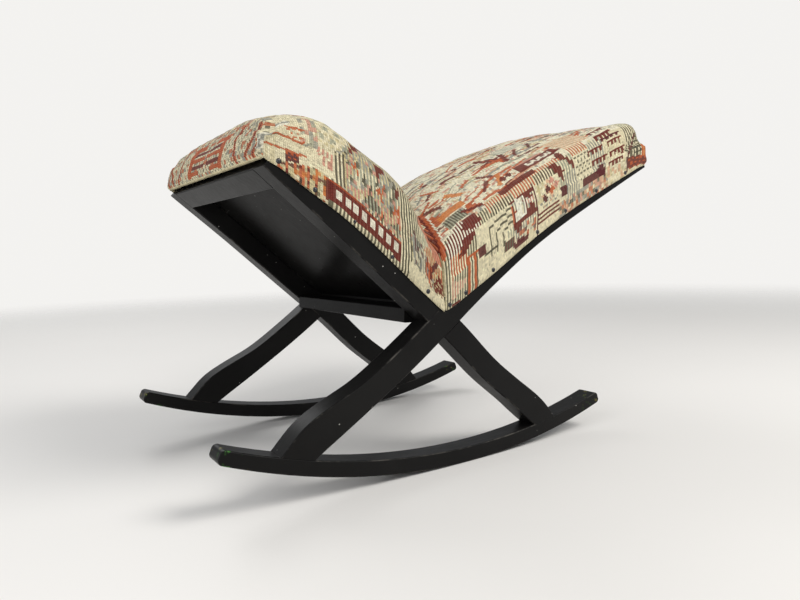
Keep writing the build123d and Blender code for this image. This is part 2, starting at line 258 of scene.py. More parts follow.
# ---- Frame: rockers, crossed pieces, rails and stretcher --------------------------------------------
# Bent and shaped hardwood, halved where the crossed pieces meet and dowelled to the rockers and rails.
# It is brush-painted satin black over older coats, with worn edges, pin-point specks and a few chips.
paint_colour = (0.0055, 0.0052, 0.0050)
faded_colour = (0.011, 0.0105, 0.010)
worn_colour = (0.085, 0.078, 0.068)
speck_colour = (0.42, 0.41, 0.38)
chip_colours = ((0.05, 0.17, 0.03), (0.42, 0.36, 0.09))
low_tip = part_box("rocker_right")[0].x
high_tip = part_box("rocker_right")[1].x


def black_paint(name, gloss=0.36, shine=0.11, edge_wear=1.0, chips=False):
    """Old brushed enamel on timber. The eased edges are found by their slanting normals."""
    coat = Finish(name, paint_colour, Roughness=gloss, IOR=1.5, Specular_IOR_Level=shine)
    spot = coat.place()
    x, _, _ = coat.axes(spot)
    _, facing_y, _ = coat.axes(coat.add("TexCoord", {}, {}, "Normal"))
    brushed = coat.cloud(coat.stretched(spot, (16, 260, 260), (0, 0.35, 0)), 1.0, 4.0)
    patches = coat.cloud(spot, 9.0, 5.0, 0.6)
    rubbed = coat.cloud(spot, 34.0, 6.0, 0.7)
    edge = abs(facing_y).rises(0.12, 0.4) & abs(facing_y).rises(0.99, 0.9)
    wear = edge * rubbed.rises(0.47, 0.66) * edge_wear
    specks = coat.add("TexVoronoi", {"feature": "F1"}, {"Vector": spot, "Scale": 150.0})
    chosen = coat.add("TexWhiteNoise", {}, {"Vector": Wire(coat, specks.socket.node.outputs["Position"])})
    dots = specks.rises(0.12, 0.06) * (chosen > 0.94) * patches.rises(0.42, 0.5)
    colour = coat.mix(patches.rises(0.35, 0.7) * 0.6, paint_colour, faded_colour)
    colour = coat.mix(wear * 0.75, colour, worn_colour)
    colour = coat.mix(dots, colour, speck_colour)
    if chips:
        tips = x.rises(low_tip + 0.035, low_tip + 0.004) | x.rises(high_tip - 0.05, high_tip - 0.004)
        chipped = tips * coat.cloud(spot, 120.0, 3.0).rises(0.60, 0.64) * (edge * 0.8 + 0.2)
        colour = coat.mix(chipped, colour, coat.mix(rubbed > 0.53, *chip_colours))
    roughness = brushed * 0.12 + rubbed * 0.14 + wear * 0.2 + gloss - 0.12
    relief = coat.bump(brushed, 0.00018, 0.55)
    relief = coat.bump(rubbed, 0.0005, 0.35, relief)
    return coat.wire(Base_Color=colour, Roughness=roughness, Normal=relief)


timber_paint = black_paint("black_timber_paint")
rocker_paint = black_paint("black_rocker_paint", chips=True)
board_paint = black_paint("black_board_paint", gloss=0.3, shine=0.03, edge_wear=0.3)
for name, piece in nodes.items():
    if name.startswith("rocker_"):
        dress(piece, rocker_paint)
    elif "seat_support" in name or name in ("long_end_rail", "short_end_rail", "centre_stretcher"):
        dress(piece, timber_paint)

# ---- Seat boards ------------------------------------------------------------------------------------
# Thin boards that are nailed on the arms under each rest. Their undersides show between the arms, and
# are painted black like the frame, a little glossier because nothing has rubbed them.
for name in ("long_seat_board", "short_seat_board"):
    dress(nodes[name], board_paint)

# ---- Dowels, pins and nails -------------------------------------------------------------------------
# Beech dowels glued into the joints, with the open grain of turned rod, and plain steel pins and nails.
# The pins of the crossing are driven in flush from outside and painted over.
rod = Finish("beech_dowel", (0.55, 0.41, 0.26), Roughness=0.6)
flecks = rod.cloud(rod.stretched(rod.place(), (500, 60, 500)), 1.0, 3.0)
grain = rod.mix(flecks, (0.62, 0.47, 0.30), (0.45, 0.32, 0.19))
beech = rod.wire(Base_Color=grain, Normal=rod.bump(flecks, 0.0001))

nail = Finish("pin_steel", (0.35, 0.34, 0.33), Metallic=1.0, Roughness=0.42)
drawn = nail.cloud(nail.place(), 900.0, 2.0)
dulled = nail.mix(drawn, (0.42, 0.41, 0.40), (0.22, 0.20, 0.18))
steel = nail.wire(Base_Color=dulled, Roughness=drawn * 0.3 + 0.28)
for name, piece in nodes.items():
    if name.endswith("_dowels") or name.startswith("foot_dowels"):
        dress(piece, beech)
    elif name.endswith("_pins"):
        dress(piece, steel)
    elif name.startswith("crossing_pins"):
        dress(piece, timber_paint)

# ---- Tacks ------------------------------------------------------------------------------------------
# Blued cut tacks with domed heads, hammered through the hem. The blue-black skin is scuffed where the
# hammer met the dome, and dulled by rust in the hollows.
blued = Finish("blued_tack", (0.03, 0.03, 0.034), Metallic=0.85, Roughness=0.34)
scuffs = blued.cloud(blued.place(), 1100.0, 3.0)
scuffed = blued.mix(scuffs.rises(0.45, 0.68), (0.028, 0.029, 0.034), (0.13, 0.125, 0.12))
dimples = blued.bump(scuffs, 0.0002, 0.5)
tack_skin = blued.wire(Base_Color=scuffed, Roughness=scuffs * 0.35 + 0.2, Normal=dimples)
for name, piece in nodes.items():
    if name.endswith("_tacks") or "_tacks_" in name:
        dress(piece, tack_skin)

# ---- Rests: the stuffed pads in their covers ---------------------------------------------------------
# Each rest is curled fibre under wadding, in a cover of heavy flat-woven cloth that is pulled over it,
# folded at the corners and tacked to the arms and end rails. The two covers meet in the valley.
lean = math.radians(2.7)   # how far the stool at rest has rolled towards its long rest
level_along = np.array((math.cos(lean), 0, -math.sin(lean)))
level_rise = np.array((math.sin(lean), 0, math.cos(lean)))
level_axes = np.array((level_along, (0, 1, 0), level_rise)).T
pick = 0.00225             # one pick of the weave, along the cloth and across it
cell = 2 * pick            # of the grid that is simulated
half_columns = 36          # cells from the middle of a rest to its shoulder
end_stations = 14          # rows of cells over which the sides run on to the upright end
cloth_thickness = 0.0015
shoulder_slope = 0.72      # below this steepness a side has turned into the top
least_side = 0.012         # from the hem to the shoulder
end_slope = 0.9            # above this steepness the top has turned into the end
seam_round = 0.008         # of the covers' edges in the valley
seam_drop = 0.8            # share of that rounding by which an edge sinks
seam_pinch = 0.2           # share of the drop by which its corners are drawn in
corner_round = 0.026       # of the stuffed corners over the arms' ends
hem_corner_round = 0.0015  # of the same corners where the cloth is tacked down
rounding_rise = 0.022      # above the board, over which the corner gets its full rounding
start_inset = 0.003        # how far inside the solid cover the cloth starts
press_frames = 20          # over which the stuffing presses it out
swell_cap = 0.0065         # furthest that the stuffing pushes it out
slip_cap = 0.002           # furthest that it slides over the stuffing
hem_hold = 0.022           # above the hem, where the tacks hold the cloth back
seam_hold = 0.014          # from the valley, where the seam holds it back
timber_rise = 0.036        # above the hem, as far as arms and board stand behind the cloth
far_under = 0.3            # across the flat cloth, where the plain underside is kept
lumps = ((0.0011, 0.085), (0.0005, 0.024))  # height and spacing of the stuffing's lumps
fold_width = 0.0038
hem_roll = 0.0016          # how far the turned-under hem stands out
roll_rise = 0.006          # of the roll's middle above the hem
roll_waves = (0.0003, 0.03)
tack_dent = 0.012          # from a tack, over which it draws the roll in
end_roll = 0.0021          # of the hem over the end's own tacks
hem_sway = (0.0013, 0.05)  # height and spacing of the hem's ups and downs
sway_rise = 0.014          # above the hem, over which they die out
sharp_rise = 0.003         # above the board, up to which the stuffed corners stay sharp
soft_rise = (0.03, 0.05)   # above the board, over which an edge in the valley gets its rounding
pinch_aside = (0.03, 0.01)  # in from the side, over which that edge is drawn in
fuller_from = (0.01, 0.05)  # from the valley, over which a rest gets fuller
fuller_to = (0.12, 0.19)   # from the valley, over which that fades
fold_rise = (0.002, 0.012)  # above the hem, over which a fold gets its height
end_near = (0.006, 0.001)  # from the end, over which the cloth comes to lie on it
end_aside = 0.004          # in from the side, where the end's roll stops
end_rise = 0.03            # above the hem, up to which the end's roll can reach
sideways = 0.6             # above this share, the cloth faces the side of the stool


def to_level(points):
    """Points of the stool's frame as (along, across, up) of the level stool."""
    points = np.asarray(points, float)
    return np.stack([points @ level_along, points[..., 1], points @ level_rise], -1)


def from_level(points):
    """Points of the level stool back in the stool's frame."""
    points = np.asarray(points, float)
    across = points[..., 1:2] * np.array((0, 1, 0))
    return points[..., :1] * level_along + across + points[..., 2:] * level_rise


def mesh_points(piece):
    """The corners of a piece's mesh."""
    found = np.empty(len(piece.data.vertices) * 3)
    piece.data.vertices.foreach_get("co", found)
    return found.reshape(-1, 3)


def move_points(piece, points):
    """Put the corners of a piece's mesh at new places."""
    piece.data.vertices.foreach_set("co", np.asarray(points, float).ravel())
    piece.data.update()


def smooth_step(value, low, high):
    """0 at low and below, 1 at high and above, and smooth between."""
    share = np.clip((value - low) / (high - low), 0, 1)
    return share * share * (3 - 2 * share)


def feeler(node):
    """A node's surface in the level frame, for rays to feel, and its corners."""
    points = to_level(mesh_points(nodes[node]))
    faces = [list(polygon.vertices) for polygon in nodes[node].data.polygons]
    return BVHTree.FromPolygons(points.tolist(), faces), points


class Skin:
    """The outside of a rest's solid cover, felt by rays in the level frame."""

    def __init__(self, length, side, side_rows):
        self.length = length
        self.tree, points = feeler(length + "_cover")
        self.board_tree, board_points = feeler(length + "_seat_board")
        self.side = side
        self.side_rows = side_rows
        self.seam = side * (side * points[:, 0]).min()
        self.end = side * (side * points[:, 0]).max()
        self.board_end = side * (side * board_points[:, 0]).max()
        self.half = points[:, 1].max()
        self.low = points[:, 2].min() - cell
        self.high = points[:, 2].max() + cell

    def hit(self, start, way):
        """Where a ray meets the solid cover, or None."""
        found = self.tree.ray_cast(Vector(start), Vector(way))[0]
        return None if found is None else np.array(found)

    def top(self, x):
        """Height of the top's middle line."""
        return self.hit((x, 0, self.high), (0, 0, -1))[2]

    def end_face(self, y, z):
        """Where the upright end lies behind a place across and up, or None."""
        reach = self.half - 2 * cloth_thickness
        found = self.hit((2 * self.end, min(max(y, -reach), reach), z), (-self.side, 0, 0))
        near = found is not None and abs(found[0] - self.end) < 2 * corner_round
        return found[0] if near else None

    def board(self, x):
        """Height of the seat board's upper face, level with its end past that."""
        x = self.side * min(self.side * x, self.side * self.board_end - cloth_thickness)
        return self.board_tree.ray_cast(Vector((x, 0, self.high)), Vector((0, 0, -1)))[0][2]

    def hem(self, x):
        """Height of the cover's lower edge on the side of the stool."""
        for height in np.arange(self.low, self.high, pick / 5):
            found = self.hit((x, 2 * self.half, height), (0, -1, 0))
            if found is not None and found[1] > self.half - corner_round / 2:
                return height
        return self.low

    def run_on(self, x, hem_slope):
        """How far past a place the rest's end lies, at each of the side's rows from the hem up."""
        half, _ = self.half_outline(x)
        ends = np.full(self.side_rows, x)
        end = x
        for row in reversed(range(self.side_rows)):
            z = half[row][1] + hem_slope * (self.end - x) * (1 - row / self.side_rows)
            found = self.end_face(self.half, z)
            end = end if found is None else found
            ends[row] = end
        return self.side * np.clip(self.side * (ends - x), 0, None)

    def half_outline(self, x):
        """The left outline from hem to middle, in the side's cells and the top's, and the side's length."""
        foot = self.hem(x)
        points = [(self.half, foot)]
        for turn in np.radians(np.arange(0.5, 90.01, 0.5)):
            way = np.array((0, math.cos(turn), math.sin(turn)))
            found = self.hit(np.array((x, 0, foot)) + way, -way)
            if found is not None and found[2] > points[-1][1] - cloth_thickness:
                points.append((found[1], found[2]))
        points = np.array(points)
        run = lengths(points)
        steepness = np.abs(np.gradient(points[:, 1], run))
        shoulder = run[np.nonzero((steepness < shoulder_slope) & (run > least_side))[0][0]]
        side = spaced(points, np.linspace(0, shoulder, self.side_rows + 1))
        top = spaced(points, np.linspace(shoulder, run[-1], half_columns + 1))[1:]
        return np.concatenate([side, top]), shoulder


def lengths(points):
    """Distance along a chain of points."""
    return np.concatenate([[0], np.cumsum(np.linalg.norm(np.diff(points, axis=0), axis=1))])


def spaced(points, places):
    """Points at given distances along a chain."""
    run = lengths(points)
    return np.stack([np.interp(places, run, points[:, axis]) for axis in range(points.shape[1])], -1)


def stations(skin):
    """Places along a rest at even steps of its top's middle line, from the valley to the end's turn."""
    inside = skin.side * cloth_thickness / 2
    count = 400
    places = np.linspace(skin.seam + inside, skin.end - inside, count)
    line = np.array([(x, skin.top(x)) for x in places])
    steepness = np.abs(np.gradient(line[:, 1], line[:, 0]))
    past_crown = np.arange(count) > 0.6 * count
    turned = np.nonzero((steepness > end_slope) & past_crown)[0]
    line = line[:turned[0] + 1] if len(turned) else line
    total = lengths(line)[-1]
    return spaced(line, np.linspace(0, total, round(total / cell) + 1))[:, 0]


def lay_cover(name, skin):
    """A box of cells laid on the solid cover: top and sides, end, valley face and underside."""
    places = stations(skin)
    last, rows, columns = len(places) - 1, skin.side_rows, 2 * half_columns
    ring = 2 * rows + columns
    inner = skin.half - cloth_thickness
    points, held, above_hem, faces, cloth = [], [], [], [], []

    def put(point, free, above):
        """Add a point, with how freely it moves and how high above the hem it lies."""
        points.append(point)
        held.append(1 - free)
        above_hem.append(above)
        return len(points) - 1

    def hang(station, inside):
        """A grid of points that hangs from the top's edge at a station, between the edges of the sides."""
        grid = np.zeros((rows + 1, columns + 1), int)
        for k in range(rows + 1):
            for j in range(columns + 1):
                if k == 0:
                    grid[k, j] = shell[station, rows + j]
                elif j in (0, columns):
                    grid[k, j] = shell[station, rows - k if j == 0 else rows + columns + k]
                else:
                    grid[k, j] = put(*inside(k, j, points[grid[0, j]]))
        return grid

    def patch(grid, flat):
        """Join a grid of points by cells, each corner with its place on the flat cloth."""
        for i in range(grid.shape[0] - 1):
            for j in range(grid.shape[1] - 1):
                corners = ((i, j), (i + 1, j), (i + 1, j + 1), (i, j + 1))
                faces.append([int(grid[corner]) for corner in corners])
                cloth.extend(flat(*corner) for corner in corners)

    # the top and sides, from the right hem over to the left one; the sides run on past the top's turn
    shell = np.zeros((last + 1, ring + 1), int)
    before = places[last - end_stations]
    hem_slope = (skin.hem(places[last]) - skin.hem(before)) / (places[last] - before)
    run_on = skin.run_on(places[last], hem_slope)
    side_lengths = []
    for i, x in enumerate(places):
        half, shoulder = skin.half_outline(x)
        side_lengths.append(shoulder)
        from_seam = smooth_step(i * cell, 0, seam_hold)
        stretch = max(0, 1 - (last - i) / end_stations) * run_on
        hem_step = hem_slope * stretch[0]
        for j in range(ring + 1):
            out = min(j, ring - j)
            y, z = half[out]
            above = min(out / rows, 1) * shoulder
            free = from_seam * smooth_step(above, 0, hem_hold)
            on = x
            if out < rows:
                on = x + stretch[out]
                z += hem_step * (1 - out / rows)
            shell[i, j] = put((on, -y if j < ring / 2 else y, z), free, above)

    # the end, from the turn down to the hem
    foot_z = points[shell[last, 0]][2]
    end_length = points[shell[last, ring // 2]][2] - foot_z

    def on_end(k, j, edge):
        """A point of the upright end, under a point of the top's edge."""
        _, top_y, top_z = edge
        y = top_y + (skin.half * (j / half_columns - 1) - top_y) * k / rows
        z = top_z + (foot_z - top_z) * k / rows
        found = skin.end_face(y, z)
        above = (1 - k / rows) * end_length
        return (skin.end if found is None else found, y, z), smooth_step(above, 0, hem_hold), above

    end = hang(last, on_end)

    # the valley face and the underside, against the other rest, the arms and the board
    def under(i, j):
        """A point of the underside, which turns up inside the hem and then lies on the board."""
        y = inner * min(max((j - half_columns) / (half_columns - 2), -1), 1)
        past = last - i <= 2
        x = skin.side * min(skin.side * points[shell[i, 0]][0], skin.side * skin.end - cloth_thickness)
        x = skin.end - skin.side * cloth_thickness if past else x
        beside_hem = j in (1, columns - 1) or last - i == 1
        return x, y, (points[shell[i, 0]][2] if beside_hem else skin.board(x))

    def in_valley(k, j, edge):
        """A point of the valley face, on the way from the top's edge down to the underside."""
        high, low = np.array(edge), np.array(under(0, j))
        return tuple(high + (low - high) * k / rows), 0, 0

    seam = hang(0, in_valley)
    base = np.zeros((last + 1, columns + 1), int)
    for i in range(last + 1):
        for j in range(columns + 1):
            if j in (0, columns):
                base[i, j] = shell[i, 0 if j == 0 else ring]
            elif i == 0:
                base[i, j] = seam[rows, j]
            elif i == last:
                base[i, j] = end[rows, j]
            else:
                base[i, j] = put(under(i, j), 0, 0)

    def shell_flat(i, j):
        """Where a point of the top or a side lies on the flat cloth, along it and across it."""
        out = min(j, ring - j)
        down = (1 - out / rows) * side_lengths[i] if out < rows else (rows - out) * cell
        along_side = i * cell + abs(points[shell[i, j]][0] - places[i])
        return along_side, math.copysign(half_columns * cell + down, j - ring / 2)

    patch(shell, shell_flat)
    patch(end, lambda k, j: (last * cell + k / rows * end_length, (j - half_columns) * cell))
    patch(seam[::-1], lambda k, j: (-(rows - k) * cell, (j - half_columns) * cell))
    patch(base[:, ::-1], lambda i, j: (i * cell, -far_under))
    mesh = bpy.data.meshes.new(name)
    mesh.from_pydata(from_level(round_corners(np.array(points), skin)).tolist(), [], faces)
    mesh.uv_layers.new(name="cloth").data.foreach_set("uv", np.array(cloth).ravel())
    for title, values in (("held", held), ("above_hem", above_hem)):
        mesh.attributes.new(title, "FLOAT", "POINT").data.foreach_set("value", values)
    if skin.side < 0:
        mesh.flip_normals()
    piece = bpy.data.objects.new(name, mesh)
    bpy.context.collection.objects.link(piece)
    return piece


def round_corners(points, skin):
    """Round the covers' edges in the valley and their upright corners at the end."""
    x, y, z = points.T
    sharp_below = skin.board(skin.end) + sharp_rise
    rounding = hem_corner_round + (corner_round - hem_corner_round) * smooth_step(
        z, sharp_below, sharp_below + rounding_rise)
    deep = np.clip(skin.side * (x - skin.end) + rounding, 0, None)
    wide = np.clip(np.abs(y) - skin.half + rounding, 0, None)
    both = (deep > 0) & (wide > 0)
    shrink = np.where(both, np.maximum(deep, wide) / np.hypot(np.where(both, deep, 1), wide), 1)
    x = x - skin.side * deep * (1 - shrink)
    y = y - np.sign(y) * wide * (1 - shrink)
    near = np.clip(1 - skin.side * (x - skin.seam) / seam_round, 0, 1)
    drop = seam_round * (1 - np.sqrt(1 - near ** 2)) * seam_drop
    board = np.interp(x * skin.side, *board_line(skin))
    z = z - drop * smooth_step(z, *[board + rise for rise in soft_rise])
    pinched = smooth_step(np.abs(y), *[skin.half - aside for aside in pinch_aside])
    y = y - np.sign(y) * drop * seam_pinch * pinched
    return np.stack([x, y, z], -1)


def board_line(skin):
    """The seat board's upper face seen from the side, for interpolation."""
    ends = sorted((skin.side * skin.seam + cloth_thickness, skin.side * skin.board_end))
    places = np.linspace(*ends, 20)
    return places, [skin.board(skin.side * place) for place in places]


def work_on(piece):
    """Select one piece alone, so that an operator acts on it."""
    bpy.ops.object.select_all(action="DESELECT")
    piece.select_set(True)
    bpy.context.view_layer.objects.active = piece


def apply_modifier(piece, kind, **settings):
    """Add a modifier with its settings and apply it."""
    work_on(piece)
    modifier = piece.modifiers.new(kind, kind)
    for title, value in settings.items():
        setattr(modifier, title, value)
    bpy.ops.object.modifier_apply(modifier=modifier.name)


def outward_ways(piece):
    """The direction in which the surface faces at each corner of a piece's mesh."""
    found = np.empty(len(piece.data.vertices) * 3)
    piece.data.vertex_normals.foreach_get("vector", found)
    return found.reshape(-1, 3)


def float_values(piece, title):
    """A named number of each corner of a piece's mesh."""
    found = np.empty(len(piece.data.vertices))
    piece.data.attributes[title].data.foreach_get("value", found)
    return found


def stuff(piece):
    """Let the stuffing press the cloth out between hem and seam, and cap how far it moves."""
    solid = mesh_points(piece)
    free = 1 - float_values(piece, "held")
    outwards = outward_ways(piece)
    move_points(piece, solid - outwards * (start_inset * free)[:, None])
    pinned = piece.vertex_groups.new(name="pinned")
    for number, hold in enumerate(1 - free):
        pinned.add([number], float(hold), "REPLACE")
    work_on(piece)
    modifier = piece.modifiers.new("stuffing", "CLOTH")
    settings = modifier.settings
    settings.quality = 5
    settings.mass = 0.2
    settings.tension_stiffness = settings.compression_stiffness = 12
    settings.shear_stiffness = 4
    settings.bending_stiffness = 0.2
    settings.use_pressure = True
    settings.uniform_pressure_force = 4
    settings.shrink_min = -0.03
    settings.vertex_group_mass = "pinned"
    settings.effector_weights.gravity = 0
    modifier.point_cache.frame_start = 1
    modifier.point_cache.frame_end = press_frames
    for number in range(1, press_frames + 1):
        bpy.context.scene.frame_set(number)
    bpy.ops.object.modifier_apply(modifier="stuffing")
    bpy.context.scene.frame_set(1)
    moved = mesh_points(piece) - solid
    swell = (moved * outwards).sum(axis=1)
    slip = moved - swell[:, None] * outwards
    far = np.linalg.norm(slip, axis=1)
    slip *= (free * np.minimum(1, slip_cap / np.maximum(far, 1e-9)))[:, None]
    move_points(piece, solid + outwards * np.clip(swell, 0, swell_cap * free)[:, None] + slip)


def ripple(points, length, seed):
    """Smooth seeded unevenness from -1 to 1, about one wave in a length."""
    chance = np.random.default_rng(seed)
    total = np.zeros(len(points))
    for _ in range(7):
        way = chance.standard_normal(3)
        way *= 2 * math.pi / length * chance.uniform(0.6, 1.5) / np.linalg.norm(way)
        total += np.sin(points @ way + chance.uniform(0, 2 * math.pi))
    return np.clip(total / 3.5, -1, 1)


def beside(points, line):
    """Distance of each point from a chain of places, and how far inwards of it the point lies."""
    best = np.full(len(points), 1.0)
    inwards = np.zeros(len(points))
    for start, end in zip(line[:-1], line[1:]):
        span = end - start
        share = np.clip((points - start) @ span / (span @ span), 0, 1)
        off = points - start - share[:, None] * span
        far = np.linalg.norm(off, axis=1)
        nearer = far < best
        best[nearer] = far[nearer]
        inwards[nearer] = off[nearer, 0] + 0.5 * off[nearer, 2]
    return best, inwards


def crease(points, skin, line, ridge, groove):
    """Height of a fold that runs along a line: a rounded ridge, with a groove beside it towards the end."""
    foot = skin.hem(skin.end - skin.side * cell)
    places = np.array([(skin.end - skin.side * inward, skin.half - aside, foot + above)
                       for inward, aside, above in line])
    mirrored = points * (1, 0, 1) + np.abs(points[:, 1:2]) * (0, 1, 0)
    far, inwards = beside(mirrored, places)
    towards_end = np.sign(skin.side * inwards) * far
    raised = ridge * np.exp(-((towards_end + fold_width / 2) / fold_width) ** 2)
    sunk = groove * np.exp(-((towards_end - fold_width / 2) / (0.6 * fold_width)) ** 2)
    return raised - sunk


def drape(piece, skin, fold, fuller, seed):
    """The cloth's own unevenness: lumps, a fold at each corner, a turned-under hem and the tacks' pull."""
    points = to_level(mesh_points(piece))
    outwards = outward_ways(piece)
    free = 1 - float_values(piece, "held")
    above = float_values(piece, "above_hem")
    off_hem = above > 1e-5
    in_sight = off_hem | (free > 0)
    from_end = skin.side * (skin.end - points[:, 0])
    from_seam = skin.side * (points[:, 0] - skin.seam)
    push = sum(height * free * ripple(points, spacing, seed + number)
               for number, (height, spacing) in enumerate(lumps))
    push += fuller * free * smooth_step(from_seam, *fuller_from) * (1 - smooth_step(from_seam, *fuller_to))
    push += smooth_step(above, *fold_rise) * crease(points, skin, *fold)

    # the hem is rolled between the tacks and drawn in at each of them, and covers the end's own tacks
    heads = np.concatenate([to_level(mesh_points(nodes[f"{skin.length}_cover_tacks_{side}"]))
                            for side in ("left", "right")])
    heads = heads[np.abs(heads[:, 1]) > skin.half]
    dented = np.exp(-(nearest_distances(heads, points) / tack_dent) ** 2)
    roll = in_sight * np.exp(-((above - roll_rise) / roll_rise) ** 2)
    height, spacing = roll_waves
    push += roll * (hem_roll * (1 - dented) + height * ripple(points, spacing, seed + 2))
    on_end = smooth_step(from_end, *end_near) * (np.abs(points[:, 1]) < skin.half - end_aside)
    push += end_roll * on_end * (above < end_rise)

    # on the sides it stays outside the arms and the board
    over_timber = off_hem & (above < timber_rise) & (from_seam > seam_round)
    over_timber &= np.abs(outwards[:, 1]) > sideways
    over_timber &= np.abs(points[:, 1]) > skin.half - 2 * cloth_thickness
    points = points + (outwards @ level_axes) * push[:, None]
    clear = np.sign(points[:, 1]) * np.maximum(np.abs(points[:, 1]), skin.half - cloth_thickness / 3)
    points[:, 1] = np.where(over_timber, clear, points[:, 1])
    height, spacing = hem_sway
    near_hem = 1 - smooth_step(above, 0, sway_rise)
    points[:, 2] += height * ripple(points, spacing, seed + 3) * near_hem * in_sight
    move_points(piece, from_level(points))


def nearest_distances(places, points):
    """Distance of each point from the nearest of some places."""
    tree = KDTree(len(places))
    for number, place in enumerate(places):
        tree.insert(place, number)
    tree.balance()
    return np.array([tree.find(point)[2] for point in points])


# each fold is a chain of (in from the end, in from the side, above the hem), its ridge and its groove
short_fold = ([(0.0025, 0.010, 0.002), (0.0075, 0.004, 0.018), (0.014, 0.003, 0.027), (0.019, 0.004, 0.036),
               (0.025, 0.007, 0.045), (0.033, 0.010, 0.050), (0.050, 0.014, 0.056)], 0.0030, 0.0018)
long_fold = ([(0.019, 0.006, 0.056), (0.031, 0.002, 0.041), (0.040, 0, 0.027), (0.048, 0, 0.015),
              (0.048, 0, 0)], 0.0012, 0.0024)
long_skin = Skin("long", 1, 14)
short_skin = Skin("short", -1, 20)
long_rest = lay_cover("long_rest", long_skin)
short_rest = lay_cover("short_rest", short_skin)
for piece, skin, fold, fuller, seed in ((long_rest, long_skin, long_fold, 0, 5),
                                        (short_rest, short_skin, short_fold, 0.003, 8)):
    stuff(piece)
    apply_modifier(piece, "SUBSURF", levels=1, render_levels=1, uv_smooth="NONE")
    drape(piece, skin, fold, fuller, seed)

# ---- Valley strip -----------------------------------------------------------------------------------
# A softwood strip that stands on the stretcher's rear edge and closes the gap under the two boards. It's
# planed, nailed down and painted black with the frame.
strip_centre = (-0.055, 0, 0.1843)
strip_size = (0.007, 2 * (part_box("centre_stretcher")[1].y - 0.001), 0.006)
bpy.ops.object.select_all(action="DESELECT")
bpy.ops.mesh.primitive_cube_add(size=1)
valley_strip = bpy.context.active_object
valley_strip.name = "valley_strip"
move_points(valley_strip, from_level(mesh_points(valley_strip) * strip_size + strip_centre))
apply_modifier(valley_strip, "BEVEL", width=0.001, segments=2)
dress(valley_strip, timber_paint)
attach(valley_strip, "root")

# ---- Pattern of the covers ---------------------------------------------------------------------------
# A flat-woven wool cloth with traditional geometric ornament. Every second pick is the cream ground, and
# the picks between carry the coloured yarns, which float to the face in blocks, steps and stripes.
yarns = {
    "cream": (0.78, 0.70, 0.47),
    "bleached": (0.87, 0.82, 0.65),
    "maroon": (0.155, 0.022, 0.014),
    "plum": (0.105, 0.016, 0.018),
    "rust": (0.50, 0.11, 0.035),
    "orange": (0.64, 0.22, 0.06),
    "peach": (0.66, 0.37, 0.22),
    "pink": (0.60, 0.28, 0.20),
    "sage": (0.36, 0.365, 0.26),
    "grey": (0.30, 0.295, 0.245),
    "olive": (0.085, 0.075, 0.045),
    "straw": (0.60, 0.51, 0.28),
}
pick_width = 1000 * pick
float_length = 1000 * cell  # of a coloured yarn over the ground
outline_step = 3           # across the cloth, in which an outline widens or narrows
clump_width = 5
far_shift = 22.5           # by which the far side's motifs stand further along
far_out = 260              # beyond the hem
shoulder_out = 160
end_of_long = 388
end_of_short = 243


